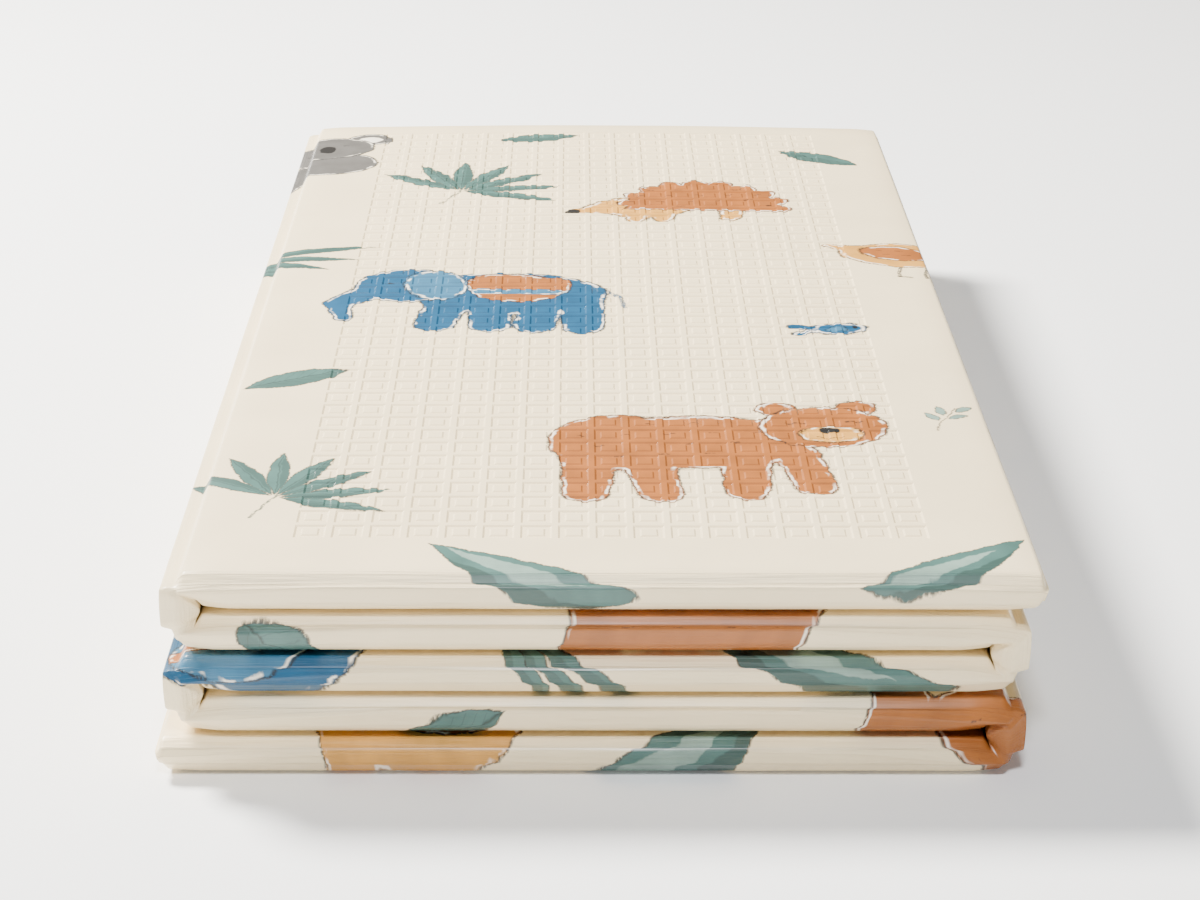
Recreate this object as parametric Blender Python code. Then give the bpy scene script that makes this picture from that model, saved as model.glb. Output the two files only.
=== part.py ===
"""Folding foam play mat: one padded sheet, folded in half and then back and forth into five layers.

The mat is laid out flat as a grid of stations, five columns by two rows of thick panels that are
joined by thin pressed strips. Every grid point is then carried to its place in the folded stack.
Lengths in the tables are millimetres. The stack stands on z = 0, its closed fold faces -Y.
"""

from collections import namedtuple
from math import pi, sin

import bmesh
import bpy

for old in list(bpy.data.objects):
    bpy.data.objects.remove(old, do_unlink=True)

MM = 0.001

FOAM = 9.7  # a panel's thickness
STRIP = 2.6  # thickness of the pressed strips and of the rim
GAP = 0.4  # left between two sheets that lie on each other
SLOPE = 3.4  # width of the slope from a panel's edge down to a strip
END_SLOPE = 1.9  # the same at the mat's own edges
RIM = 0.8  # the thin rim outside that
LAYER = 2 * (FOAM + GAP)  # one layer is the two rows of panels, lying back to back

COLUMN = 397.2  # from fold to fold
END_COLUMN = 400.9  # from the last fold to the mat's end
ROW = 750.0  # from the half fold to the mat's long side
FOLD_WIDTH = 33.0  # pressed strip between two columns
HALF_STRIP = 6.0  # half of the pressed strip between the rows
END_PANEL = END_COLUMN - FOLD_WIDTH / 2 - SLOPE - END_SLOPE - RIM
INNER_INSET = 8.2  # the inner sheet of a fold stops this much short of the outer one
RIGHT = COLUMN - FOLD_WIDTH - 2 * SLOPE + INNER_INSET  # from left to right outer shoulders
FREE_INSET = 1.9  # the lower sheet's free end lies this much further in

EDGE_DROP = 0.9  # a panel is this much thinner at its edge
NEAR_EDGE = 12.0  # and full from here on
TOP_BOW = 2.4  # rise of the top layer's middle at the open side

# One row a layer, from the top down. Ridge heights count from the middle of the layer.
Layer = namedtuple("Layer", "shift_x shift_y ledge ridge_left ridge ridge_right")
LAYERS = (
    Layer(0.0, 0.0, 1.0, 1.9, 4.4, 2.2),
    Layer(-0.3, 0.6, 1.0, 1.3, 4.4, -2.4),
    Layer(-0.9, -0.3, 0.0, -2.4, 3.9, -0.8),
    Layer(-0.2, 0.7, 1.0, -1.1, 4.4, -2.4),
    Layer(-0.4, 0.2, 0.0, 0.6, 3.6, -2.4),
)

# The half fold from the upper sheet round to the lower one. y counts back from the foremost line,
# z from the middle of the layer; None stands for the layer's own ridge height.
Front = namedtuple("Front", "y z back_y back_z")
LEDGED = (Front(2.6, 4.9, 4.1, 2.8), Front(0.0, None, 3.0, 2.2), Front(1.5, -5.1, 3.7, -3.3))
PLAIN = (Front(1.6, 5.5, 3.6, 3.1), Front(0.0, None, 2.6, 2.4), Front(0.9, -2.8, 3.4, -1.7))
AT_FOLD = (Front(3.9, 2.9, 4.6, 0.3), Front(0.3, None, 4.1, 0.0), Front(3.9, -2.9, 4.6, -0.3))
AT_END = (Front(3.0, 2.9, 4.6, 0.3), Front(0.2, None, 3.6, 0.0), Front(2.6, -2.9, 4.6, -0.3))
SHOULDER_Y = 6.6
FOLD_SHOULDER_Y = 8.2
FOLD_REACH = 9.0  # the half fold takes its shape at a side fold over this length
RIDGE_REACH = 70.0  # and its ridge leans towards that fold over this one

# A side fold, from the foot of the upper slope round to that of the lower one. e counts outward from
# the outer shoulder, z up from the plane between the two layers that the fold joins.
Side = namedtuple("Side", "outer_e outer_z back_e back_z inner_back_e inner_back_z inner_e inner_z")
SIDE_FOLD = (
    Side(3.4, 13.0, 3.6, 10.4, -4.8, 9.9, -4.8, 7.3),
    Side(7.0, 12.7, 6.0, 10.2, 4.0, 9.7, 1.0, 7.2),
    Side(9.9, 11.6, 7.3, 9.3, 6.7, 8.8, 4.0, 6.6),
    Side(10.2, 7.0, 7.6, 6.0, 7.05, 5.8, 4.4, 4.4),
    Side(10.3, 2.5, 7.7, 2.3, 7.15, 2.2, 4.5, 1.8),
    Side(10.2, -2.0, 7.6, -1.5, 7.05, -1.4, 4.4, -1.0),
    Side(9.8, -6.2, 7.3, -5.4, 6.7, -5.2, 4.1, -4.2),
    Side(7.0, -10.2, 4.9, -8.6, 4.3, -8.2, 1.6, -6.2),
    Side(3.4, -13.0, 3.6, -10.4, -4.8, -9.9, -4.8, -7.3),
)
# The inner sheet's printed face and back where it is pinched flat against its own slopes.
Pinch = namedtuple("Pinch", "e z back_e back_z")
PINCHED = (
    Pinch(-4.8, 7.3, -4.8, 9.9),
    Pinch(-5.0, 5.6, -2.8, 7.8),
    Pinch(-5.5, 3.8, -2.6, 5.2),
    Pinch(-6.2, 1.9, -3.1, 2.7),
    Pinch(-7.0, 0.0, -3.8, 0.0),
)
PLUG = 2.6  # the pinched end of the inner sheet is pushed this far forward
PINCH_REACH = 60.0  # the inner sheet is pinched at the half fold and is free this far behind it
ALONG_FOLD = (0.0, 0.12, 0.25, 0.37, 0.5, 0.63, 0.75, 0.88, 1.0)

# Share of the way from the outer sheet's foot to the inner one's, at each line of the half fold.
FROM_OUTER = (0.0, 0.14, 0.28, 0.62, 1.0)

# The middle of the folded stack's outline, where the part's origin lies.
MIDDLE_X = 182.6
MIDDLE_Y = 373.58

UPPER, LOWER = 1, -1


def mix(a, b, t):
    return a + (b - a) * t


def smooth(t):
    t = min(max(t, 0.0), 1.0)
    return t * t * (3 - 2 * t)


def middle(k):
    """Height of the plane between the two sheets of layer k."""
    return (len(LAYERS) - 1 - k) * LAYER + FOAM + GAP / 2


def outer_row(k, side):
    """The row that lies outermost at layer k's left (-1) or right (1) end, None at a free end."""
    if (k == 0 and side > 0) or (k == len(LAYERS) - 1 and side < 0):
        return None
    return 0 if side < 0 else 1


def place(row, k):
    """UPPER or LOWER: which of layer k's two sheets the row is."""
    return UPPER if (row == 0) == (k % 2 == 0) else LOWER


def shoulders(row, k):
    """x of the left and right edge of a panel's raised face."""
    left = 0.0 if row == 0 else INNER_INSET
    right = RIGHT if row == 1 else RIGHT - INNER_INSET
    inset = FREE_INSET if place(row, k) == LOWER else 0.0
    if k == 0:
        right = END_PANEL - inset
    if k == len(LAYERS) - 1:
        left = RIGHT - END_PANEL + inset
    return left + LAYERS[k].shift_x, right + LAYERS[k].shift_x


def across_panel(k, f, share):
    """x at the fraction f of layer k's panels, share of the way from the first row to the second."""
    edges = [shoulders(row, k) for row in (0, 1)]
    return mix(mix(*edges[0], f), mix(*edges[1], f), share)


# Where a point of the half fold is: how near the end of its layer, 0 to 1, for its shape and for
# its ridge, the table of the shape at that end, and the ridge's height there.
Nearness = namedtuple("Nearness", "shape ridge table height")


def nearness(k, f):
    """The nearness at the fraction f of layer k's panels, under 0 or over 1 on the slopes beyond."""
    found = []
    for side, height in ((-1, LAYERS[k].ridge_left), (1, LAYERS[k].ridge_right)):
        free = outer_row(k, side) is None
        slope = END_SLOPE if free else SLOPE
        away = (f if side < 0 else 1 - f) * COLUMN + slope
        shape = smooth(1 - away / (slope if free else FOLD_REACH))
        ridge = smooth(1 - away / RIDGE_REACH)
        found.append(Nearness(shape, ridge, AT_END if free else AT_FOLD, height))
    return max(found, key=lambda near: near.ridge)


def half_fold(k, near):
    """The five lines of the half fold, upper to lower: (y, z) of the printed face and of the back."""
    layer = LAYERS[k]
    key = []
    for mid, side in zip(LEDGED if layer.ledge else PLAIN, near.table):
        t = near.shape
        if mid.z is None:
            z = mix(layer.ridge, near.height, near.ridge)
            back_z = mix(mix(mid.back_z, 0.0, near.ridge), side.back_z, t)
        else:
            z, back_z = mix(mid.z, side.z, t), mix(mid.back_z, side.back_z, t)
        key.append(((mix(mid.y, side.y, t), z), (mix(mid.back_y, side.back_y, t), back_z)))
    between = [
        tuple(tuple(mix(p, q, 0.5) for p, q in zip(a, b)) for a, b in zip(first, second))
        for first, second in zip(key, key[1:])
    ]
    return [key[0], between[0], key[1], between[1], key[2]]


def ridge_share(k, n, f):
    """The way from the first row to the second at line n of the half fold, first row's foot = 0."""
    ends = []
    for side in (-1, 1):
        outer = outer_row(k, side)
        if outer is None:
            ends.append(n / 4)
        else:
            ends.append(FROM_OUTER[n] if outer == 0 else 1 - FROM_OUTER[4 - n])
    return mix(ends[0], ends[1], f)


def half_fold_point(k, n, printed, f):
    """y and z of the half fold's line n, counted from the first row, in layer k."""
    lines = half_fold(k, nearness(k, f))
    y, z = lines[n if place(0, k) == UPPER else 4 - n][0 if printed else 1]
    return y + LAYERS[k].shift_y, middle(k) + z


def side_point(outer, printed, n, y):
    """e and z of the point n of a side fold, 0 to 8, at the depth y."""
    row = SIDE_FOLD[n]
    if outer:
        return (row.outer_e, row.outer_z) if printed else (row.back_e, row.back_z)
    free = (row.inner_e, row.inner_z) if printed else (row.inner_back_e, row.inner_back_z)
    pinch, sign = PINCHED[min(n, 8 - n)], 1 if n <= 4 else -1
    tight = (pinch.e, sign * pinch.z) if printed else (pinch.back_e, sign * pinch.back_z)
    t = smooth((y - FOLD_SHOULDER_Y) / PINCH_REACH)
    return mix(tight[0], free[0], t), mix(tight[1], free[1], t)


def row_depth(distance, near):
    """y of a point of a row at this distance from its front shoulder."""
    pull = (FOLD_SHOULDER_Y - SHOULDER_Y) * near * max(0.0, 1 - distance / (2 * NEAR_EDGE))
    return SHOULDER_Y + distance + pull


def thickness(edge_u, edge_v):
    """Foam thickness at distances (mm) from a panel's edges, None on a strip."""
    if edge_u is None or edge_v is None:
        return STRIP
    return FOAM - sum(EDGE_DROP * smooth(1 - edge / NEAR_EDGE) for edge in (edge_u, edge_v))


def bow(k, f, y):
    """The top layer doesn't lie quite flat at its open side."""
    return TOP_BOW * sin(pi * min(max(f, 0.0), 1.0)) * (y / ROW) ** 1.4 if k == 0 else 0.0


# Stations along the mat's length, from the free end of the top layer to that of the bottom one.
Across = namedtuple("Across", "kind layer value edge")
# Stations over its width, from the first row's long side over the half fold to the second's.
Along = namedtuple("Along", "kind row value edge")


def panel_stations(width, middles):
    near = NEAR_EDGE / width
    inner = [near + (1 - 2 * near) * i / (middles + 1) for i in range(middles + 2)]
    return [(0.0, 0.0)] + [(f, min(f, 1 - f) * width) for f in inner] + [(1.0, 0.0)]


def across_stations():
    stations = []
    last = len(LAYERS) - 1
    for k in range(len(LAYERS)):
        panel = [Across("panel", k, f, edge) for f, edge in panel_stations(COLUMN, 3)]
        if k % 2 == 0:
            panel.reverse()
        if k == 0:
            stations += [Across("end", k, END_SLOPE + RIM, None), Across("end", k, END_SLOPE, None)]
        stations += panel
        if k < last:
            stations += [Across("fold", k, n, None) for n in range(9)]
        else:
            stations += [Across("end", k, END_SLOPE, None), Across("end", k, END_SLOPE + RIM, None)]
    return stations


def along_stations():
    length = ROW - HALF_STRIP - SLOPE - END_SLOPE - RIM
    inner = [NEAR_EDGE, PINCH_REACH / 2, PINCH_REACH]
    inner += [mix(PINCH_REACH, length - NEAR_EDGE, i / 6) for i in range(1, 7)]
    stations = [(0.0, 0.0)] + [(d, NEAR_EDGE) for d in inner] + [(length, 0.0)]
    stations += [(length + END_SLOPE, None), (length + END_SLOPE + RIM, None)]
    first = [Along("row", 0, d, e) for d, e in reversed(stations)]
    second = [Along("row", 1, d, e) for d, e in stations]
    return first + [Along("front", None, n, None) for n in range(5)] + second


def point_on_panel(u, v, printed):
    k, f, over = u.layer, u.value, 0.0
    if u.kind == "end":
        f, over = (1.0, u.value) if k == 0 else (0.0, -u.value)
    beyond = f + over / COLUMN
    if v.kind == "front":
        x = across_panel(k, f, ridge_share(k, v.value, f)) + over
        y, z = half_fold_point(k, v.value, printed, beyond)
        return x, y, z + bow(k, f, y)
    x = across_panel(k, f, v.row) + over
    near = nearness(k, beyond)
    y = row_depth(v.value, near.shape if near.table is AT_FOLD else 0.0) + LAYERS[k].shift_y
    height = thickness(u.edge, v.edge) if printed else 0.0
    z = middle(k) + place(v.row, k) * (GAP / 2 + height)
    return x, y, z + bow(k, f, y)


def point_on_fold(u, v, printed):
    k, n = u.layer, u.value
    side = -1 if k % 2 == 0 else 1
    outer = outer_row(k, side)
    s = ALONG_FOLD[n]
    shift_x = mix(LAYERS[k].shift_x, LAYERS[k + 1].shift_x, s)
    base_x = (0.0 if side < 0 else RIGHT) + shift_x
    base_z = middle(k) - LAYER / 2

    def on_row(row, m, y):
        e, z = side_point(row == outer, printed, m, y)
        return base_x + side * e, base_z + z

    if v.kind == "row":
        shift_y = mix(LAYERS[k].shift_y, LAYERS[k + 1].shift_y, s)
        y = row_depth(v.value, 1.0)
        x, z = on_row(v.row, n, y)
        return x, y + shift_y, z

    def half(layer, line):
        height = LAYERS[layer].ridge_left if side < 0 else LAYERS[layer].ridge_right
        lines = half_fold(layer, Nearness(1.0, 1.0, AT_FOLD, height))
        y, z = lines[line if place(0, layer) == UPPER else 4 - line][0 if printed else 1]
        return y + LAYERS[layer].shift_y, middle(layer) + z

    # The crossing of the two folds is blended from the four curves around it.
    share = ridge_share(k, v.value, 0.0 if side < 0 else 1.0)
    rows = [on_row(row, n, 0.0) for row in (0, 1)]
    corners = [[on_row(row, m, 0.0) for row in (0, 1)] for m in (0, 8)]
    upper, lower = half(k, v.value), half(k + 1, v.value)
    x = mix(rows[0][0], rows[1][0], share)
    inner_share = share if outer == 0 else 1 - share
    y = mix(upper[0], lower[0], s) - PLUG * sin(pi * s) * smooth(inner_share / 0.6)
    flat_z = mix(*(mix(pair[0][1], pair[1][1], share) for pair in corners), s)
    z = mix(rows[0][1], rows[1][1], share) + mix(upper[1], lower[1], s) - flat_z
    return x, y, z


def folded_sheet(name):
    across, along = across_stations(), along_stations()
    mesh = bmesh.new()
    grids = []
    for printed in (True, False):
        grid = []
        for u in across:
            put = point_on_fold if u.kind == "fold" else point_on_panel
            line = []
            for v in along:
                x, y, z = put(u, v, printed)
                line.append(mesh.verts.new(((x - MIDDLE_X) * MM, (y - MIDDLE_Y) * MM, z * MM)))
            grid.append(line)
        grids.append(grid)
    printed, back = grids
    last_u, last_v = len(across) - 1, len(along) - 1
    for i in range(last_u):
        for j in range(last_v):
            a, b, c, d = (i, j), (i + 1, j), (i + 1, j + 1), (i, j + 1)
            mesh.faces.new([printed[p][q] for p, q in (a, b, c, d)])
            mesh.faces.new([back[p][q] for p, q in (d, c, b, a)])
    border = [(i, 0) for i in range(last_u)] + [(last_u, j) for j in range(last_v)]
    border += [(i, last_v) for i in range(last_u, 0, -1)] + [(0, j) for j in range(last_v, 0, -1)]
    for (p, q), (r, s) in zip(border, border[1:] + border[:1]):
        mesh.faces.new((printed[r][s], printed[p][q], back[p][q], back[r][s]))
    bmesh.ops.recalc_face_normals(mesh, faces=mesh.faces)
    data = bpy.data.meshes.new(name)
    mesh.to_mesh(data)
    mesh.free()
    made = bpy.data.objects.new(name, data)
    bpy.context.scene.collection.objects.link(made)
    return made


def cream_film():
    material = bpy.data.materials.new("cream_film")
    material.use_nodes = True
    shader = material.node_tree.nodes["Principled BSDF"]
    shader.inputs["Base Color"].default_value = (0.86, 0.82, 0.75, 1.0)
    shader.inputs["Roughness"].default_value = 0.45
    shader.inputs["Metallic"].default_value = 0.0
    return material


mat = folded_sheet("play_mat")
mat.data.materials.append(cream_film())
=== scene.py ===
"""Looks of a folding foam play mat, folded in half and then back and forth into five layers.

The mat is laid out flat as a grid, embossed, given a map of its flat outline for the print, and
carried to its place in the folded stack line by line. Tables and small functions give lengths in
millimetres; the mesh is in metres. The stack stands on z = 0 and its closed fold faces -Y.
"""

from collections import namedtuple
from math import cos, pi, radians, sin

import bmesh
import bpy
from bpy.props import FloatProperty, FloatVectorProperty, PointerProperty
from mathutils import Matrix, Vector, noise


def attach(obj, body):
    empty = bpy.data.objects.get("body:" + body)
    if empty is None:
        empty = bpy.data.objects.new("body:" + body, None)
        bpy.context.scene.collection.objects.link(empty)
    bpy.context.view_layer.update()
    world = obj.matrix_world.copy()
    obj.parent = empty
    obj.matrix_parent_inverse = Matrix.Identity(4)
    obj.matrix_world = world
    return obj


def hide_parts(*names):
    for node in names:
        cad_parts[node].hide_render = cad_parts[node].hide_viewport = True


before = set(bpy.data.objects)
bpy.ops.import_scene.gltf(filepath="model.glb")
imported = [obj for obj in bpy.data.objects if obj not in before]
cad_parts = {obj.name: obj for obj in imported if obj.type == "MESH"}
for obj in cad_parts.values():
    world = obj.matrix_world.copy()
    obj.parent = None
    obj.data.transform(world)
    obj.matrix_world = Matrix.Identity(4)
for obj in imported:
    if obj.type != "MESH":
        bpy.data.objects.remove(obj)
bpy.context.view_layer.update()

bl_info = {
    "name": "Folded play mat",
    "version": (1, 0, 0),
    "blender": (4, 5, 0),
    "location": "View3D > Sidebar > Play mat",
    "description": "Builds a folded foam play mat, its printed film and a plain stage",
    "category": "Add Mesh",
}

MM = 0.001

FOAM = 9.7
STRIP = 2.6
GAP = 0.4
SLOPE = 3.4
END_SLOPE = 1.9
RIM = 0.8
LAYER = 2 * (FOAM + GAP)

COLUMN = 397.2
END_COLUMN = 400.9
ROW = 750.0
FOLD_WIDTH = 33.0
HALF_STRIP = 6.0
END_PANEL = END_COLUMN - FOLD_WIDTH / 2 - SLOPE - END_SLOPE - RIM
INNER_INSET = 8.2
RIGHT = COLUMN - FOLD_WIDTH - 2 * SLOPE + INNER_INSET
FREE_INSET = 1.9
ROW_LENGTH = ROW - HALF_STRIP - SLOPE - END_SLOPE - RIM
MAT_LENGTH = 2 * END_COLUMN + 3 * COLUMN

EDGE_DROP = 0.9
NEAR_EDGE = 12.0
TOP_BOW = 2.4

Layer = namedtuple("Layer", "shift_x shift_y ledge ridge_left ridge ridge_right")
LAYERS = (
    Layer(0.0, 0.0, 1.0, 1.9, 4.4, 2.2),
    Layer(-0.3, 0.6, 1.0, 1.3, 4.4, -2.4),
    Layer(-0.9, -0.3, 0.0, -2.4, 3.9, -0.8),
    Layer(-0.2, 0.7, 1.0, -1.1, 4.4, -2.4),
    Layer(-0.4, 0.2, 0.0, 0.6, 3.6, -2.4),
)
LAST = len(LAYERS) - 1

# The half fold from the upper sheet round to the lower one. y counts back from the foremost line,
# z from the middle of the layer; None stands for the layer's own ridge height.
Front = namedtuple("Front", "y z back_y back_z")
LEDGED = (Front(2.6, 4.9, 4.1, 2.8), Front(0.0, None, 3.0, 2.2), Front(1.5, -5.1, 3.7, -3.3))
PLAIN = (Front(1.6, 5.5, 3.6, 3.1), Front(0.0, None, 2.6, 2.4), Front(0.9, -2.8, 3.4, -1.7))
AT_FOLD = (Front(3.9, 2.9, 4.6, 0.3), Front(0.3, None, 4.1, 0.0), Front(3.9, -2.9, 4.6, -0.3))
AT_END = (Front(3.0, 2.9, 4.6, 0.3), Front(0.2, None, 3.6, 0.0), Front(2.6, -2.9, 4.6, -0.3))
SHOULDER_Y = 6.6
FOLD_SHOULDER_Y = 8.2
FOLD_REACH = 9.0
RIDGE_REACH = 70.0

# A side fold, from the foot of the upper slope round to that of the lower one. e counts outward from
# the outer shoulder, z up from the plane between the two layers that the fold joins.
Side = namedtuple("Side", "outer_e outer_z back_e back_z inner_back_e inner_back_z inner_e inner_z")
SIDE_FOLD = (
    Side(3.4, 13.0, 3.6, 10.4, -4.8, 9.9, -4.8, 7.3),
    Side(7.0, 12.7, 6.0, 10.2, 4.0, 9.7, 1.0, 7.2),
    Side(9.9, 11.6, 7.3, 9.3, 6.7, 8.8, 4.0, 6.6),
    Side(10.2, 7.0, 7.6, 6.0, 7.05, 5.8, 4.4, 4.4),
    Side(10.3, 2.5, 7.7, 2.3, 7.15, 2.2, 4.5, 1.8),
    Side(10.2, -2.0, 7.6, -1.5, 7.05, -1.4, 4.4, -1.0),
    Side(10.0, -6.6, 7.3, -4.1, 6.7, -3.7, 4.2, -1.9),
    Side(5.2, -8.0, 2.9, -5.8, 2.2, -5.4, 0.2, -3.2),
    Side(3.4, -13.0, 3.6, -10.4, -4.8, -9.9, -4.8, -7.3),
)
Pinch = namedtuple("Pinch", "e z back_e back_z")
PINCHED = (
    Pinch(-4.8, 7.3, -4.8, 9.9),
    Pinch(-5.65, 4.6, -2.8, 6.0),
    Pinch(-6.7, 2.3, -2.9, 3.9),
    Pinch(-7.2, 1.0, -3.4, 2.0),
    Pinch(-7.3, 0.0, -4.0, 0.0),
)
TIP_DEPTH = 2.6
# The places of ALONG_FOLD where the plug's edges are creased in, and how deep.
GROOVED = (1, 7)
GROOVE = 1.1
CORNER_SPAN = 0.36
PINCH_REACH = 60.0
ALONG_FOLD = (0.0, 0.12, 0.25, 0.37, 0.5, 0.63, 0.75, 0.88, 1.0)
FROM_OUTER = (0.0, 0.14, 0.28, 0.62, 1.0)
CORNER_FROM_OUTER = (0.0, 0.23, 0.46, 0.74, 1.0)
MIDDLE_X = 182.6
MIDDLE_Y = 373.58

# The embossed squares of a panel, and how each is shaped by insets: width of the step, and rise.
CELL = 17.07
CELL_COLUMNS = 17
CELL_ROWS = 40
CELL_FRONT_MARGIN = 34.0
Step = namedtuple("Step", "width rise")
CELL_STEPS = (Step(1.35, 0.0), Step(0.95, -0.7), Step(2.1, 0.0), Step(0.8, 0.52))

# How the corner at a line is rounded: the arc's reach on both sides, and its number of parts.
Rounding = namedtuple("Rounding", "radius parts")
SHARP = Rounding(0.0, 0)
SHOULDER = Rounding(1.5, 3)
NEAR_LINE = Rounding(4.0, 2)
END_LINE = Rounding(0.6, 2)
FOOT = Rounding(0.8, 2)
KINK = Rounding(0.5, 2)
FOLD_ROUNDING = (FOOT, KINK, Rounding(1.0, 3), SHARP, SHARP, SHARP, Rounding(0.9, 3), KINK, FOOT)
FRONT_ROUNDING = (FOOT, SHARP, Rounding(1.9, 4), SHARP, FOOT)
LONGEST_ARC = 0.42
SHARP_ANGLE = radians(30)

# Rises and hollows of the film, in millimetres: their height, and the length of one wave.
FINE_WAVES = (0.12, 60.0)
WIDE_WAVES = (0.3, 150.0)
FRONT_WAVES = (0.22, 28.0, 9.0)
# A shallow dent near the right edge of the top: its place and half sizes on the flat mat, and depth.
DENT_U, DENT_V, DENT_LONG, DENT_WIDE, DENT_DEPTH = 17.0, 440.0, 9.0, 34.0, 0.9

FLAT_MAP = "flat_mat"
BACK_MAP = Vector((0.0, 0.8))
BACK_SHARE = 0.2

UPPER, LOWER = 1, -1


def mix(a, b, t):
    return a + (b - a) * t


def smooth(t):
    t = min(max(t, 0.0), 1.0)
    return t * t * (3 - 2 * t)


def middle(k):
    """Height of the plane between the two sheets of layer k."""
    return (LAST - k) * LAYER + FOAM + GAP / 2


def outer_row(k, side):
    """The row that lies outermost at layer k's left (-1) or right (1) end, None at a free end."""
    if (k == 0 and side > 0) or (k == LAST and side < 0):
        return None
    return 0 if side < 0 else 1


def place(row, k):
    """UPPER or LOWER: which of layer k's two sheets the row is."""
    return UPPER if (row == 0) == (k % 2 == 0) else LOWER


def shoulders(row, k):
    """x of the left and right edge of a panel's raised face."""
    left = 0.0 if row == 0 else INNER_INSET
    right = RIGHT if row == 1 else RIGHT - INNER_INSET
    inset = FREE_INSET if place(row, k) == LOWER else 0.0
    if k == 0:
        right = END_PANEL - inset
    if k == LAST:
        left = RIGHT - END_PANEL + inset
    return left + LAYERS[k].shift_x, right + LAYERS[k].shift_x


def across_panel(k, f, share):
    """x at the fraction f of layer k's panels, share of the way from the first row to the second."""
    edges = [shoulders(row, k) for row in (0, 1)]
    return mix(mix(*edges[0], f), mix(*edges[1], f), share)


Nearness = namedtuple("Nearness", "shape ridge table height")


def nearness(k, f):
    """How near the end of its layer a point is, for the half fold's shape and for its ridge."""
    found = []
    for side, height in ((-1, LAYERS[k].ridge_left), (1, LAYERS[k].ridge_right)):
        free = outer_row(k, side) is None
        slope = END_SLOPE if free else SLOPE
        away = (f if side < 0 else 1 - f) * COLUMN + slope
        shape = smooth(1 - away / (slope if free else FOLD_REACH))
        ridge = smooth(1 - away / RIDGE_REACH)
        found.append(Nearness(shape, ridge, AT_END if free else AT_FOLD, height))
    return max(found, key=lambda near: near.ridge)


def half_fold(k, near):
    """The five lines of the half fold, upper to lower: (y, z) of the printed face and of the back."""
    layer = LAYERS[k]
    key = []
    for mid, side in zip(LEDGED if layer.ledge else PLAIN, near.table):
        t = near.shape
        if mid.z is None:
            z = mix(layer.ridge, near.height, near.ridge)
            back_z = mix(mix(mid.back_z, 0.0, near.ridge), side.back_z, t)
        else:
            z, back_z = mix(mid.z, side.z, t), mix(mid.back_z, side.back_z, t)
        key.append(((mix(mid.y, side.y, t), z), (mix(mid.back_y, side.back_y, t), back_z)))
    # The lines between keep away from the ridge, which leaves room to round it.
    away = mix(0.2, 0.5, near.shape)
    between = [
        tuple(tuple(mix(p, q, t) for p, q in zip(a, b)) for a, b in zip(first, second))
        for first, second, t in zip(key, key[1:], (away, 1 - away))
    ]
    return [key[0], between[0], key[1], between[1], key[2]]


def ridge_share(k, n, f):
    """The way from the first row to the second at line n of the half fold, first row's foot = 0."""
    ends = []
    for side in (-1, 1):
        outer = outer_row(k, side)
        if outer is None:
            ends.append(n / 4)
        else:
            ends.append(FROM_OUTER[n] if outer == 0 else 1 - FROM_OUTER[4 - n])
    return mix(ends[0], ends[1], f)


def half_fold_point(k, n, printed, near):
    """y and z of the half fold's line n, counted from the first row, in layer k."""
    lines = half_fold(k, near)
    y, z = lines[n if place(0, k) == UPPER else 4 - n][0 if printed else 1]
    return y + LAYERS[k].shift_y, middle(k) + z


def side_point(outer, printed, n, y):
    """e and z of the point n of a side fold, 0 to 8, at the depth y."""
    row = SIDE_FOLD[n]
    if outer:
        return (row.outer_e, row.outer_z) if printed else (row.back_e, row.back_z)
    free = (row.inner_e, row.inner_z) if printed else (row.inner_back_e, row.inner_back_z)
    pinch, sign = PINCHED[min(n, 8 - n)], 1 if n <= 4 else -1
    tight = (pinch.e, sign * pinch.z) if printed else (pinch.back_e, sign * pinch.back_z)
    t = smooth((y - FOLD_SHOULDER_Y) / PINCH_REACH)
    return mix(tight[0], free[0], t), mix(tight[1], free[1], t)


def row_depth(offset, near):
    """y of a point of a row at this distance from its front shoulder."""
    pull = (FOLD_SHOULDER_Y - SHOULDER_Y) * near * max(0.0, 1 - offset / (2 * NEAR_EDGE))
    return SHOULDER_Y + offset + pull


def thickness(edge_u, edge_v):
    """Foam thickness at these distances from a panel's edges, None on a strip."""
    if edge_u is None or edge_v is None:
        return STRIP
    return FOAM - sum(EDGE_DROP * smooth(1 - edge / NEAR_EDGE) for edge in (edge_u, edge_v))


def bow(k, f, y):
    """The top layer doesn't lie quite flat at its open side."""
    return TOP_BOW * sin(pi * min(max(f, 0.0), 1.0)) * (y / ROW) ** 1.4 if k == 0 else 0.0


# A line of the flat mat across its length (Across) or its width (Along). flat is where it lies on
# the flat mat, and rounding says how the corner at this line is rounded.
Across = namedtuple("Across", "kind layer value edge flat rounding")
Along = namedtuple("Along", "kind row value edge flat rounding")


def cell_lines(start, count):
    return [start + CELL * i for i in range(count + 1)]


def edge_rounding(edge):
    """The rounding of a panel's line at this distance from the panel's edge."""
    if edge < 0.1:
        return SHOULDER
    return NEAR_LINE if edge < NEAR_EDGE + 0.1 else SHARP


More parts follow.
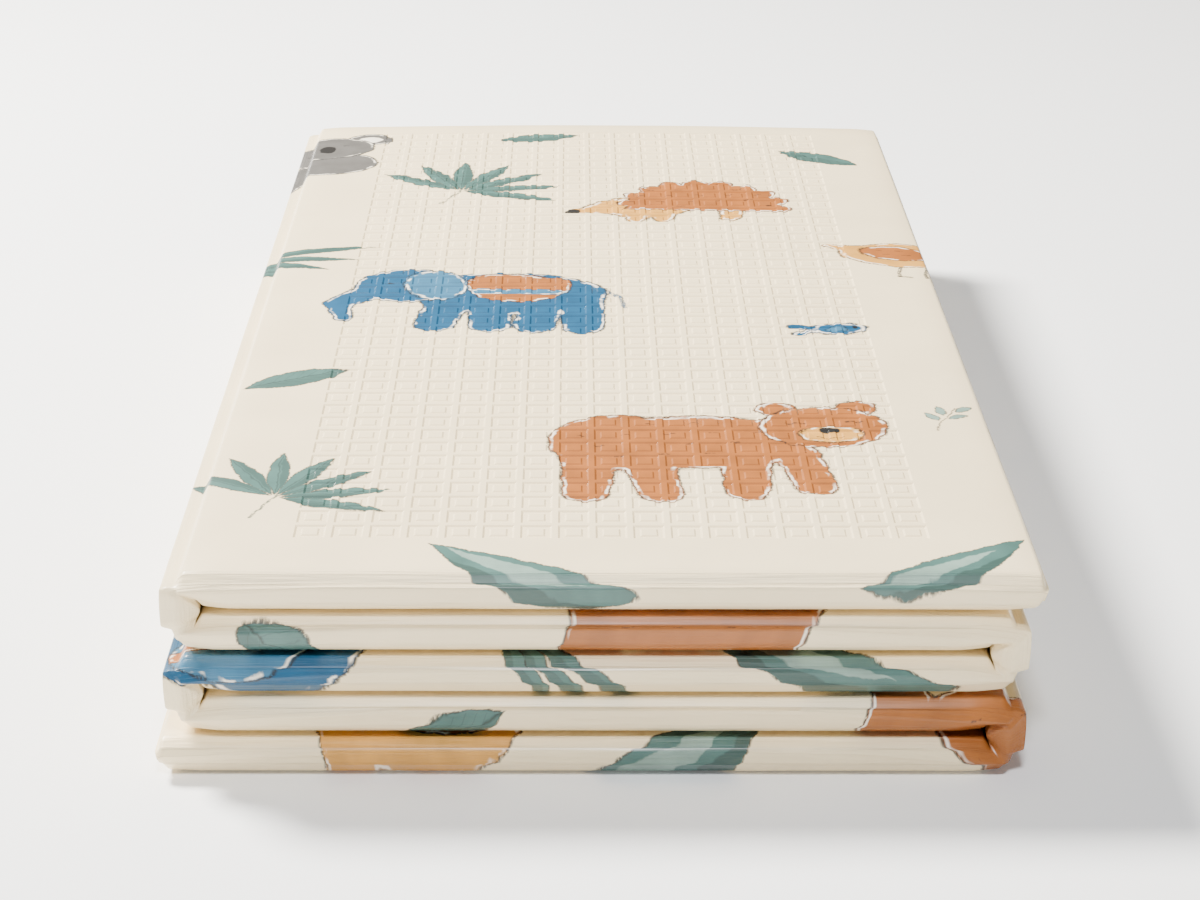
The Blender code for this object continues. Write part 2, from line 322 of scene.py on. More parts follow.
def across_lines():
    """Lines from the free end of the top layer to that of the bottom one."""
    lines = []
    for k in range(LAST + 1):
        free = k in (0, LAST)
        width = END_PANEL if free else COLUMN - FOLD_WIDTH - 2 * SLOPE
        if free:
            inner = cell_lines((width - CELL * CELL_COLUMNS) / 2, CELL_COLUMNS)
        else:
            inner = [width * part for part in (0.25, 0.5, 0.75)]
        offsets = [0.0, NEAR_EDGE] + inner + [width - NEAR_EDGE, width]
        start = 0.0 if k == 0 else END_COLUMN + COLUMN * (k - 1) + FOLD_WIDTH / 2
        if k == 0:
            lines.append(Across("end", k, END_SLOPE + RIM, None, 0.0, SHARP))
            lines.append(Across("end", k, END_SLOPE, None, RIM, END_LINE))
            start = RIM + END_SLOPE
        else:
            start += SLOPE
        for offset in offsets:
            edge = min(offset, width - offset)
            f = offset / width
            value = 1 - f if k % 2 == 0 else f
            lines.append(Across("panel", k, value, edge, start + offset, edge_rounding(edge)))
        if k < LAST:
            fold = start + width + SLOPE
            for n, (s, rounding) in enumerate(zip(ALONG_FOLD, FOLD_ROUNDING)):
                lines.append(Across("fold", k, n, None, fold + FOLD_WIDTH * s, rounding))
        else:
            tip = start + width + END_SLOPE
            lines.append(Across("end", k, END_SLOPE, None, tip, END_LINE))
            lines.append(Across("end", k, END_SLOPE + RIM, None, tip + RIM, SHARP))
    return lines


def along_lines():
    """Lines from the first row's long side over the half fold to the second row's."""
    offsets = [0.0, NEAR_EDGE] + cell_lines(CELL_FRONT_MARGIN, CELL_ROWS)
    offsets += [ROW_LENGTH - NEAR_EDGE, ROW_LENGTH]
    row = []
    start = HALF_STRIP + SLOPE
    for offset in offsets:
        edge = min(offset, ROW_LENGTH - offset)
        row.append(Along("row", 0, offset, edge, start + offset, edge_rounding(edge)))
    tip = ROW_LENGTH + END_SLOPE
    row.append(Along("row", 0, tip, None, start + tip, END_LINE))
    row.append(Along("row", 0, tip + RIM, None, ROW, SHARP))
    front = []
    for n, rounding in enumerate(FRONT_ROUNDING):
        front.append(Along("front", None, n, None, HALF_STRIP * (1 - n / 2), rounding))
    return row[::-1] + front + [line._replace(row=1, flat=-line.flat) for line in row]


def point_on_panel(u, v, printed):
    k, f, over = u.layer, u.value, 0.0
    if u.kind == "end":
        f, over = (1.0, u.value) if k == 0 else (0.0, -u.value)
    near = nearness(k, f + over / COLUMN)
    if v.kind == "front":
        x = across_panel(k, f, ridge_share(k, v.value, f)) + over
        y, z = half_fold_point(k, v.value, printed, near)
        return x, y, z + bow(k, f, y)
    x = across_panel(k, f, v.row) + over
    y = row_depth(v.value, near.shape if near.table is AT_FOLD else 0.0) + LAYERS[k].shift_y
    height = thickness(u.edge, v.edge) if printed else 0.0
    z = middle(k) + place(v.row, k) * (GAP / 2 + height)
    return x, y, z + bow(k, f, y)


def point_on_fold(u, v, printed):
    k, n = u.layer, u.value
    side = -1 if k % 2 == 0 else 1
    outer = outer_row(k, side)
    s = ALONG_FOLD[n]
    base_x = (0.0 if side < 0 else RIGHT) + mix(LAYERS[k].shift_x, LAYERS[k + 1].shift_x, s)
    base_z = middle(k) - LAYER / 2

    def on_row(row, m, y):
        e, z = side_point(row == outer, printed, m, y)
        return base_x + side * e, base_z + z

    if v.kind == "row":
        shift_y = mix(LAYERS[k].shift_y, LAYERS[k + 1].shift_y, s)
        y = row_depth(v.value, 1.0)
        x, z = on_row(v.row, n, y)
        return x, y + shift_y, z

    def half(layer):
        height = LAYERS[layer].ridge_left if side < 0 else LAYERS[layer].ridge_right
        return half_fold_point(layer, v.value, printed, Nearness(1.0, 1.0, AT_FOLD, height))

    # The crossing is blended from the curves around it, and drawn together to a tip at the inner row.
    within = smooth(sin(pi * s) / CORNER_SPAN)
    m = v.value if outer == 0 else 4 - v.value
    from_outer = mix(FROM_OUTER[m], CORNER_FROM_OUTER[m], within)
    share = from_outer if outer == 0 else 1 - from_outer
    rows = [on_row(row, n, 0.0) for row in (0, 1)]
    corners = [[on_row(row, end, 0.0) for row in (0, 1)] for end in (0, 8)]
    upper, lower = half(k), half(k + 1)
    x = mix(rows[0][0], rows[1][0], share)
    y = mix(upper[0], lower[0], s) + TIP_DEPTH * within * smooth(2 * from_outer - 1)
    if n in GROOVED:
        y += GROOVE * smooth(2 * from_outer)
    flat_z = mix(*(mix(pair[0][1], pair[1][1], share) for pair in corners), s)
    z = mix(rows[0][1], rows[1][1], share) + mix(upper[1], lower[1], s) - flat_z
    return x, y, z


def rounded(points, lines):
    """The points of one line, with an arc put in at each corner that has a radius."""
    made = []
    for i, (point, line) in enumerate(zip(points, lines)):
        radius, parts = line.rounding
        if not parts:
            made.append(point)
            continue
        ends = []
        for other in (points[i - 1], points[i + 1]):
            way = other - point
            ends.append(point + way * min(radius / max(way.length, 1e-6), LONGEST_ARC))
        for m in range(parts + 1):
            t = m / parts
            made.append(ends[0] * (1 - t) ** 2 + point * (2 * t * (1 - t)) + ends[1] * t * t)
    return made


def refined(grid, across, along):
    """A grid of points with both directions' corners rounded."""
    columns = [rounded(list(column), across) for column in zip(*grid)]
    return [rounded(list(row), along) for row in zip(*columns)]


def folded_grid(across, along, printed):
    grid = []
    for u in across:
        put = point_on_fold if u.kind == "fold" else point_on_panel
        grid.append([Vector(put(u, v, printed)) for v in along])
    return refined(grid, across, along)


def wave(u, v, height, length, width=None, number=0.0):
    return height * noise.noise(Vector((u / length, v / (width or length), number)))


def uneven(u, v):
    """Small rises and hollows of the film, in millimetres, at a point of the flat mat."""
    rise = wave(u, v, *FINE_WAVES)
    if u < END_COLUMN and v > 0:
        rise += wave(u, v, *WIDE_WAVES, number=3.0)
        dent_u, dent_v = (u - DENT_U) / DENT_LONG, (v - DENT_V) / DENT_WIDE
        rise -= DENT_DEPTH * max(0.0, 1 - dent_u * dent_u - dent_v * dent_v) ** 2
    if abs(v) < HALF_STRIP + SLOPE + 2:
        rise += wave(u, v, *FRONT_WAVES, number=6.0)
    return rise


def flat_slab(across, along):
    """The mat as an open bmesh: a grid pulled into a slab, with its lines kept in two layers."""
    flat = [[Vector((u.flat, v.flat, 0.0)) for v in along] for u in across]
    flat = refined(flat, across, along)
    count_u, count_v = len(flat), len(flat[0])
    mesh = bmesh.new()
    bmesh.ops.create_grid(mesh, x_segments=count_u - 1, y_segments=count_v - 1, size=0.5)
    line_u = mesh.verts.layers.int.new("line_u")
    line_v = mesh.verts.layers.int.new("line_v")
    for vert in mesh.verts:
        vert[line_u] = round((vert.co.x + 0.5) * (count_u - 1))
        vert[line_v] = round((vert.co.y + 0.5) * (count_v - 1))
    uv = mesh.loops.layers.uv.new(FLAT_MAP)
    for face in mesh.faces:
        for loop in face.loops:
            point = flat[loop.vert[line_u]][loop.vert[line_v]]
            loop[uv].uv = (point.x / MAT_LENGTH, (point.y + ROW) / MAT_LENGTH)
    return mesh, flat


def printed_side(mesh):
    """Extrudes the grid into a closed slab and returns the vertices of the new, printed side."""
    made = bmesh.ops.extrude_face_region(mesh, geom=list(mesh.faces))
    return {item for item in made["geom"] if isinstance(item, bmesh.types.BMVert)}


def face_centre(face, uv):
    """The middle of a face on the map of the flat mat."""
    return sum((loop[uv].uv for loop in face.loops), Vector((0.0, 0.0))) / len(face.loops)


def cell_faces(mesh, uv, printed):
    """The faces of the embossed squares of the top and of the bottom panel."""
    found = []
    left = (END_PANEL - CELL * CELL_COLUMNS) / 2 + RIM + END_SLOPE
    near = HALF_STRIP + SLOPE + CELL_FRONT_MARGIN
    for face in mesh.faces:
        if not all(vert in printed for vert in face.verts):
            continue
        centre = face_centre(face, uv)
        u, v = centre.x * MAT_LENGTH, centre.y * MAT_LENGTH - ROW
        if v < 0:
            u, v = MAT_LENGTH - u, -v
        if left < u < left + CELL * CELL_COLUMNS and near < v < near + CELL * CELL_ROWS:
            found.append(face)
    return found


def build_mat_mesh(settings, paints):
    """The folded mat as a bmesh, and the list of its materials."""
    across, along = across_lines(), along_lines()
    mesh, flat = flat_slab(across, along)
    printed = printed_side(mesh)
    line_u, line_v = mesh.verts.layers.int["line_u"], mesh.verts.layers.int["line_v"]
    uv = mesh.loops.layers.uv[FLAT_MAP]
    faces = {True: folded_grid(across, along, True), False: folded_grid(across, along, False)}
    origin = Vector((MIDDLE_X, MIDDLE_Y, 0.0))
    for vert in mesh.verts:
        grid = faces[vert in printed]
        vert.co = (grid[vert[line_u]][vert[line_v]] - origin) * MM
    bmesh.ops.recalc_face_normals(mesh, faces=mesh.faces)
    mesh.normal_update()
    for vert in printed:
        point = flat[vert[line_u]][vert[line_v]]
        vert.co += vert.normal * uneven(point.x, point.y) * MM
    low = min(vert.co.z for vert in mesh.verts)
    for vert in mesh.verts:
        vert.co.z -= low
    films = give_films(mesh, printed, settings, paints)
    cells = cell_faces(mesh, uv, printed)
    for step in CELL_STEPS:
        bmesh.ops.inset_individual(
            mesh,
            faces=cells,
            thickness=step.width * MM,
            depth=step.rise * MM,
            use_even_offset=True,
            use_interpolate=True,
        )
    mesh.normal_update()
    for face in mesh.faces:
        face.smooth = True
    return mesh, films


class Ink:
    """A value in a material. Arithmetic on it adds Math nodes, and add makes any other node."""

    def __init__(self, tree, socket=None):
        self.tree, self.socket = tree, socket

    def add(self, kind, settings, inputs, output=0):
        node = self.tree.nodes.new(kind)
        for name, value in settings.items():
            setattr(node, name, value)
        for key, value in inputs.items():
            if isinstance(value, Ink):
                self.tree.links.new(value.socket, node.inputs[key])
            else:
                node.inputs[key].default_value = value
        return Ink(self.tree, node.outputs[output])

    def output(self, index):
        return Ink(self.tree, self.socket.node.outputs[index])

    def math(self, operation, *values, **settings):
        return self.add("ShaderNodeMath", {"operation": operation, **settings}, dict(enumerate(values)))

    def __add__(self, other):
        return self.math("ADD", self, other)

    def __radd__(self, other):
        return self.math("ADD", other, self)

    def __sub__(self, other):
        return self.math("SUBTRACT", self, other)

    def __rsub__(self, other):
        return self.math("SUBTRACT", other, self)

    def __mul__(self, other):
        return self.math("MULTIPLY", self, other)

    def __rmul__(self, other):
        return self.math("MULTIPLY", other, self)

    def __abs__(self):
        return self.math("ABSOLUTE", self)

    def root(self):
        return self.math("SQRT", self)

    def wrapped(self, half):
        """The value folded back into the range from -half to half, over and over."""
        return self.math("WRAP", self, half, -half)

    def between(self, low, high):
        """0 at low and 1 at high, even in between and held outside."""
        return self.math("MULTIPLY_ADD", self, 1 / (high - low), -low / (high - low), use_clamp=True)

    def noise(self, along, scale, detail=2.0):
        """Noise over this value and another, with so many features to the millimetre."""
        place_at = self.add("ShaderNodeCombineXYZ", {}, {0: self, 1: along})
        inputs = {"Vector": place_at, "Scale": scale, "Detail": detail}
        return self.add("ShaderNodeTexNoise", {"noise_dimensions": "2D"}, inputs)

    def blended(self, first, second):
        """From the first colour to the second by this value."""
        return self.add("ShaderNodeMix", {"data_type": "RGBA"}, {0: self, 6: first, 7: second}, 2)


def distance(x, y):
    return (x * x + y * y).root()


def both(first, second):
    """The part that two shapes share."""
    return first.math("MAXIMUM", first, second)


def blade(along, across, long, wide):
    """A pointed oval along the first axis, centred."""
    arc = (long * long + wide * wide) / (4 * wide)
    return distance(along, abs(across) + (arc - wide / 2)) - arc


def joined(*shapes, soft=5.0):
    whole = shapes[0]
    for shape in shapes[1:]:
        whole = whole.math("SMOOTH_MIN", whole, shape, soft)
    return whole


Motif = namedtuple("Motif", "draw u v turn size flip")


class Drawing:
    """One motif being drawn, with its own axes in millimetres, x right and y away.

    A shape is a distance, below zero inside. wash, pencil and bare say how the paint, the drawn
    line and the bare slivers beside it vary, and colour is what is painted so far.
    """

    SOCKETS = ("Colour", "Right", "Away", "Size", "Wash", "Pencil", "Bare")

    def __init__(self, start, paints):
        inputs = [start.output(index) for index in range(len(self.SOCKETS))]
        self.colour, self.x, self.y, self.size, self.wash, self.pencil, self.bare = inputs
        self.paints = paints

    def turned(self, x, y, turn=0.0):
        right, away = self.x - x, self.y - y
        if not turn:
            return right, away
        c, s = cos(radians(turn)), sin(radians(turn))
        return right * c + away * s, away * c - right * s

    def oval(self, x, y, wide, high, turn=0.0):
        right, away = self.turned(x, y, turn)
        return (distance(right * (1 / wide), away * (1 / high)) - 1) * min(wide, high)

    def rod(self, x, y, to_x, to_y, radius, to_radius=None):
        way_x, way_y = to_x - x, to_y - y
        right, away = self.turned(x, y)
        square = way_x * way_x + way_y * way_y
        t = (right * (way_x / square) + away * (way_y / square)).between(0.0, 1.0)
        grow = 0.0 if to_radius is None else to_radius - radius
        return distance(right - t * way_x, away - t * way_y) - (t * grow + radius)

    def mask(self, shape, soft=0.35):
        return (shape * self.size).between(soft, -soft)

    def over(self, paint, share):
        colour = paint if isinstance(paint, Ink) else self.paints[paint]
        self.colour = share.blended(self.colour, colour)

    def fill(self, shape, paint, line=0.6, bare=True):
        rich, thin = (tuple(c * k for c in self.paints[paint][:3]) + (1.0,) for k in (0.88, 1.1))
        self.over(self.wash.blended(rich, thin), self.mask(shape))
        if bare:
            self.over("bare", self.mask(abs(shape + 1.3) - 0.6) * self.bare)
        if line:
            self.over("pencil", self.mask(abs(shape) - line) * self.pencil)

    def stroke(self, *points, radius=0.6, paint="pencil"):
        for start, end in zip(points, points[1:]):
            self.over(paint, self.mask(self.rod(*start, *end, radius)) * self.pencil)

    def ticks(self, shape, gap=12.0, long=4.5, paint="pencil"):
        """Short strokes all over a shape, in rows that are set off from each other."""
        row = (self.y * (1 / gap)).math("ROUND", self.y * (1 / gap))
        right = (self.x + row * (gap * 0.62)).wrapped(gap * 0.8)
        line = both(abs(right) - long / 2, abs(self.y.wrapped(gap / 2)) - 0.4)
        self.over(paint, self.mask(both(line, shape + 5.0)) * self.pencil)


def draw_bear(art):
    legs = [art.rod(*leg) for leg in ((-44, -16, -48, -50, 12, 10), (-20, -20, -17, -53, 11, 9.5))]
    legs += [art.rod(*leg) for leg in ((22, -20, 18, -53, 11, 9.5), (44, -14, 47, -50, 10, 9))]
    body = joined(art.oval(0, 2, 54, 30), art.oval(-30, 4, 30, 31), *legs)
    art.fill(body, "terracotta")
    art.ticks(art.oval(-4, 5, 54, 28))
    for x in (42, 78):
        art.fill(art.oval(x, 38, 9, 8), "terracotta")
    art.fill(art.oval(60, 16, 28, 24), "terracotta")
    art.fill(art.oval(62, 7, 14, 9.5), "tan")
    art.fill(art.oval(62, 11.5, 4.5, 3), "pencil", line=0.0, bare=False)
    art.stroke((45, 21), (52, 21))
    art.stroke((71, 21), (78, 21))
    art.stroke((56, 4), (61, 2), (67, 4), radius=0.5)


def draw_elephant(art):
    legs = [art.rod(x, -14, x + lean, -44, 11, 10.5) for x, lean in ((-24, -3), (-2, 2), (24, -2))]
    body = joined(art.oval(6, 4, 50, 31), *legs, art.rod(44, -10, 46, -44, 11, 10.5))
    art.stroke((54, 10), (63, 0), (65, -14), radius=1.5, paint="blue")
    art.fill(body, "blue")
    art.fill(both(art.oval(10, 16, 27, 25), body + 2.5), "terracotta")
    art.fill(both(both(art.oval(10, 16, 27, 25), body + 2.5), abs(art.y - 6) - 4), "sky", line=0.4)
    trunk = (art.rod(-62, 6, -78, -16, 11, 7), art.rod(-78, -16, -73, -38, 7, 4.5))
    art.fill(joined(art.oval(-46, 14, 27, 26), *trunk), "blue")
    art.fill(art.oval(-32, 15, 16, 23, 12), "sky")
    art.stroke((-60, 17), (-54, 17))


def draw_hedgehog(art):
    feet = [art.rod(x, -16, x + 2, -27, 6, 5) for x in (-18, 14, 27)]
    art.fill(joined(*feet, art.oval(24, -8, 25, 15), art.rod(38, -8, 57, -13, 9, 3)), "tan")
    angle = art.x.math("ARCTAN2", art.y + 8, art.x + 6)
    spikes = abs((angle * 9).math("SINE", angle * 9))
    back = both(distance(art.x + 6, art.y + 8) - (spikes * 5 + 37), -15 - art.y + art.x * 0.12)
    art.fill(back, "terracotta")
    art.ticks(back, gap=9.0, long=4.0)
    art.fill(art.oval(58, -13, 3.6, 3), "pencil", line=0.0, bare=False)
    art.stroke((38, -3), (43, -4))


def draw_fish(art):
    tail = [art.rod(-12, 0, -22, y, 1.5, 3.5) for y in (6, -6)]
    art.fill(joined(art.oval(0, 0, 15, 8.5), *tail, soft=3.0), "blue")
    art.fill(art.oval(-1, -1, 6, 3.5), "sky", line=0.4, bare=False)
    art.fill(art.oval(9, 1.5, 1.2, 1.2), "pencil", line=0.0, bare=False)


def draw_koala(art):
    art.fill(joined(art.oval(0, -40, 32, 26), art.rod(-22, -52, -34, -70, 10, 8)), "grey")
    for x in (-31, 31):
        art.fill(art.oval(x, 17, 16, 14), "grey")
        art.fill(art.oval(x, 16, 9, 7.5), "bare", line=0.3, bare=False)
    art.fill(art.oval(0, 0, 33, 26), "grey")
    art.fill(art.oval(0, -3, 5.5, 9), "pencil", line=0.0, bare=False)
    for x in (-15, 11):
        art.stroke((x, 4), (x + 4, 4))


def draw_duck(art):
    for x in (-4, 12):
        art.stroke((x, -20), (x - 2, -42), (x + 5, -44), radius=1.3)
    neck = (art.rod(26, 8, 38, 34, 12, 9), art.oval(40, 40, 15, 14))
    art.fill(joined(art.oval(0, 0, 41, 23), *neck, art.rod(-32, 6, -50, 17, 9, 2)), "tan")
    art.fill(art.rod(53, 38, 71, 34, 5, 2.5), "terracotta")
    wing = art.oval(-6, 3, 24, 13, -8)
    art.fill(wing, "terracotta")
    art.ticks(wing, gap=8.0, long=5.0)
    art.fill(art.oval(44, 43, 1.6, 1.6), "pencil", line=0.0, bare=False)


def draw_haunch(art):
    legs = [art.rod(x, -20, x + 3, -62, 15, 12) for x in (-40, 38)]
    art.fill(joined(art.rod(52, 16, 84, 34, 8, 4), art.oval(0, 0, 62, 44), *legs), "terracotta")
    art.ticks(art.oval(0, 0, 62, 44), gap=14.0)


def draw_cub(art):
    art.fill(joined(art.oval(0, 0, 50, 40), art.rod(-30, -20, -32, -60, 13, 11)), "tan")
    art.fill(art.oval(14, 6, 30, 22, 10), "terracotta")
    art.ticks(art.oval(14, 6, 30, 22, 10), gap=11.0)


def draw_wing(art):
    art.fill(art.oval(0, 0, 52, 38), "blue")
    feathers = art.oval(-8, -4, 34, 22)
    art.fill(feathers, "sky")
    art.fill(both(feathers, abs(art.y + 4) - 5), "terracotta")


def draw_leaf(art):
    leaf = blade(art.x, art.y, 58, 20)
    art.fill(leaf, "leaf", line=0.6, bare=False)
    art.over("deep_leaf", art.mask(both(leaf + 0.8, art.y + 1.0)) * 0.45)
    side_veins = abs((art.x - abs(art.y) * 1.1).wrapped(3.4)) - 0.25
    art.over("pencil", art.mask(both(side_veins, leaf + 1.8)) * 0.35)
    art.over("pencil", art.mask(both(abs(art.y) - 0.35, leaf + 0.5)) * 0.7)


def draw_frond(art):
    bent = art.y - art.x * art.x * 0.0035
    leaf = blade(art.x, bent, 124, 30)
    art.fill(leaf, "leaf", line=0.5, bare=False)
    art.over("deep_leaf", art.mask(both(leaf + 0.6, bent + 6.5)) * 0.8)
    art.fill(blade(art.x + 8, bent - 3.5, 86, 11), "pale_leaf", line=0.0, bare=False)


def draw_blades(art):
    for turn, long in ((19, 100), (2, 84), (-15, 70)):
        along, across = art.turned(-48, 0, turn)
        leaf = blade(along - long / 2, across + along * along * 0.001, long, 10)
        art.fill(leaf, "leaf", line=0.5, bare=False)
        art.over("deep_leaf", art.mask(both(leaf + 0.6, across + 1.5)) * 0.6)


def draw_palm(art):
    step = radians(27)
    angle = art.x.math("ARCTAN2", art.y, art.x)
    sector = (angle * (1 / step)).math("ROUND", angle * (1 / step))
    sector = sector.math("MAXIMUM", sector.math("MINIMUM", sector, 3.0), -3.0)
    angle = angle - sector * step
    reach = distance(art.x, art.y)
    along, across = reach * angle.math("COSINE", angle), reach * angle.math("SINE", angle)
    leaf = blade(along - 30, across, 54, 11)
    art.fill(leaf, "leaf", line=0.45, bare=False)
    art.over("deep_leaf", art.mask(both(leaf + 0.6, across + 1.0)) * 0.6)
    art.over("pencil", art.mask(both(abs(across) - 0.3, leaf + 1.2)) * 0.6)
    art.stroke((-28, -3), (4, 0), radius=0.8, paint="deep_leaf")


def draw_sprig(art):
    art.stroke((0, -18), (1, -4), (5, 14), radius=0.5)
    for x, y, turn in ((-5, 0, 130), (8, 3, 40), (-2, 9, 112), (9, 14, 60)):
        art.fill(blade(*art.turned(x, y, turn), 12, 5), "pale_leaf", line=0.4, bare=False)


def layer_u(k, share):
    """The place on the flat mat at a share of layer k's width, from the left in the front view."""
    start = 0.0 if k == 0 else END_COLUMN + COLUMN * (k - 1)
    width = END_COLUMN if k in (0, LAST) else COLUMN
    return start + width * (1 - share if k % 2 == 0 else share)


MOTIFS = (
    # The top of the stack.
    Motif(draw_bear, layer_u(0, 0.62), 160.0, 4.0, 1.15, 1),
    Motif(draw_elephant, layer_u(0, 0.37), 384.0, -3.0, 1.12, 1),
    Motif(draw_hedgehog, layer_u(0, 0.66), 568.0, 5.0, 1.3, -1),
    Motif(draw_fish, layer_u(0, 0.84), 330.0, 8.0, 1.05, 1),
    Motif(draw_koala, layer_u(0, 0.07), 690.0, 8.0, 0.95, 1),
    Motif(draw_duck, layer_u(0, 0.97), 462.0, -4.0, 0.95, 1),
    Motif(draw_palm, layer_u(0, 0.30), 590.0, 62.0, 1.1, 1),
    Motif(draw_palm, layer_u(0, 0.13), 92.0, 64.0, 0.95, 1),
    Motif(draw_leaf, layer_u(0, 0.12), 250.0, 28.0, 1.0, 1),
    Motif(draw_leaf, layer_u(0, 0.88), 668.0, -32.0, 1.0, 1),
    Motif(draw_leaf, layer_u(0, 0.42), 712.0, 12.0, 0.9, 1),
    Motif(draw_blades, layer_u(0, 0.08), 452.0, 2.0, 0.9, 1),
    Motif(draw_sprig, layer_u(0, 0.94), 196.0, -14.0, 1.0, 1),
    # The closed edge at the front.
    Motif(draw_frond, layer_u(0, 0.42), 8.0, -24.0, 0.8, 1),
    Motif(draw_frond, layer_u(0, 0.90), 14.0, 30.0, 0.72, 1),
    Motif(draw_haunch, layer_u(1, 0.60), -30.0, 180.0, 1.0, 1),
    Motif(draw_leaf, layer_u(1, 0.16), 8.0, 150.0, 1.0, 1),
    Motif(draw_frond, layer_u(2, 0.74), 6.0, -24.0, 1.0, 1),
    Motif(draw_blades, layer_u(2, 0.46), -4.0, -58.0, 0.9, 1),
    Motif(draw_wing, layer_u(2, 0.13), 26.0, 6.0, 1.0, 1),
    Motif(draw_leaf, layer_u(3, 0.33), 12.0, 205.0, 1.0, 1),
    Motif(draw_haunch, layer_u(3, 0.95), 26.0, 12.0, 1.0, -1),
    Motif(draw_cub, layer_u(4, 0.30), 28.0, -4.0, 1.0, 1),
    Motif(draw_frond, layer_u(4, 0.60), -2.0, 28.0, 1.0, 1),
    # The underside of the stack.
    Motif(draw_elephant, layer_u(4, 0.45), -240.0, 176.0, 1.1, 1),
    Motif(draw_bear, layer_u(4, 0.58), -520.0, 172.0, 1.1, -1),
    Motif(draw_palm, layer_u(4, 0.18), -392.0, 70.0, 1.1, 1),
    Motif(draw_leaf, layer_u(4, 0.82), -118.0, 25.0, 1.0, 1),
    Motif(draw_fish, layer_u(4, 0.83), -388.0, 190.0, 1.05, 1),
    Motif(draw_hedgehog, layer_u(4, 0.24), -664.0, 184.0, 1.2, 1),
)
# How far each drawing reaches from its centre, right and away, in millimetres.
REACH = {
    draw_bear: (91, 64),
    draw_elephant: (88, 58),
    draw_hedgehog: (64, 46),
    draw_fish: (27, 11),
    draw_koala: (50, 80),
    draw_duck: (74, 57),
    draw_haunch: (90, 76),
    draw_cub: (52, 73),
    draw_wing: (54, 40),
    draw_leaf: (31, 12),
    draw_frond: (64, 30),
    draw_blades: (56, 36),
    draw_palm: (59, 59),
    draw_sprig: (18, 22),
}
# However it is turned, a drawing stays within this many times its longer half.
CORNER_REACH = 1.3
# How far the unsteady hand may carry a drawn edge past its reach.
WAVER = 2.5
SHINE_ROUGHNESS = 0.26
# The film is creased this far from the middle of a half fold and of a side fold, then less and less.
HALF_CREASED = 8.0
SIDE_CREASED = 12.0
CREASES_FADE = 10.0


def film_look(tree, settings, u, v):
    """Colour and normal of the bare film, at a place in millimetres."""
    patches = u.noise(v, 1 / 55, 3.0)
    light, dull = (tuple(c * k for c in settings.film) + (1.0,) for k in (1.03, 0.97))
    near_half = (abs(v) - HALF_CREASED).between(CREASES_FADE, 0.0)
    off_ends = (abs(u - MAT_LENGTH / 2) - END_COLUMN).between(END_COLUMN, COLUMN)
    near_side = (abs((u - END_COLUMN).wrapped(COLUMN / 2)) - SIDE_CREASED).between(CREASES_FADE, 0.0)
    near_side = near_side * off_ends
    creases = (u * 0.02).noise(v * 1.1, 1.0, 3.0) * near_half
    creases = creases + (u * 1.1).noise(v * 0.02, 1.0, 3.0) * (near_side * 0.6)
    grain = u.noise(v, 1.3, 1.0)
    height = creases * settings.crease + grain * settings.grain
    inputs = {"Strength": 1.0, "Distance": MM, "Height": height}
    return patches.between(0.3, 0.7).blended(dull, light), tree.add("ShaderNodeBump", {}, inputs)


def drawing_group(draw, paints):
    """A node group that paints one drawing over a colour."""
    tree = bpy.data.node_groups.new(draw.__name__, "ShaderNodeTree")
    for name in Drawing.SOCKETS:
        kind = "NodeSocketColor" if name == "Colour" else "NodeSocketFloat"
        tree.interface.new_socket(name, in_out="INPUT", socket_type=kind)
    tree.interface.new_socket("Colour", in_out="OUTPUT", socket_type="NodeSocketColor")
    end = tree.nodes.new("NodeGroupOutput")
    art = Drawing(Ink(tree).add("NodeGroupInput", {}, {}), paints)
    draw(art)
    tree.links.new(art.colour.socket, end.inputs[0])
    return tree


def new_film(name, settings):
    material = bpy.data.materials.new(name)
    material.use_nodes = True
    shader = material.node_tree.nodes["Principled BSDF"]
    shader.inputs["Roughness"].default_value = settings.roughness
    shader.inputs["Specular IOR Level"].default_value = settings.gloss
    shader.inputs["Coat Weight"].default_value = settings.shine
    shader.inputs["Coat Roughness"].default_value = SHINE_ROUGHNESS
    return material, Ink(material.node_tree), shader


def connect(tree, shader, colour, normal):
    tree.links.new(colour.socket, shader.inputs["Base Color"])
    tree.links.new(normal.socket, shader.inputs["Normal"])


def printed_film(name, motifs, settings, groups):
    """The printed side's material with these motifs on it."""
    material, start, shader = new_film(name, settings)
    place_at = start.add("ShaderNodeUVMap", {"uv_map": FLAT_MAP}, {})
    flat = start.add("ShaderNodeSeparateXYZ", {}, {0: place_at})
    u, v = flat * MAT_LENGTH, flat.output(1) * MAT_LENGTH - ROW
    colour, normal = film_look(start, settings, u, v)
    if motifs:
        sway = start.add("ShaderNodeSeparateXYZ", {}, {0: u.noise(v, 1 / 8, 4.0).output(1)})
        hand_u = u + (sway - 0.5) * settings.unsteady
        hand_v = v + (sway.output(1) - 0.5) * settings.unsteady
        wash = u.noise(v, 1 / 16, 5.0).between(0.3, 0.7)
        pencil = u.noise(v, 1 / 1.4).between(0.3, 0.52) * 0.85
        bare = u.noise(v, 1 / 11).between(0.44, 0.56) * 0.9
    for motif in motifs:
        c, s = cos(radians(motif.turn)) / motif.size, sin(radians(motif.turn)) / motif.size
        right, away = motif.u - hand_u, hand_v - motif.v
        x, y = right * (c * motif.flip) + away * (s * motif.flip), away * c - right * s
        inputs = dict(enumerate((colour, x, y, motif.size, wash, pencil, bare)))
        colour = start.add("ShaderNodeGroup", {"node_tree": groups[motif.draw]}, inputs)
    connect(material.node_tree, shader, colour, normal)
    return material


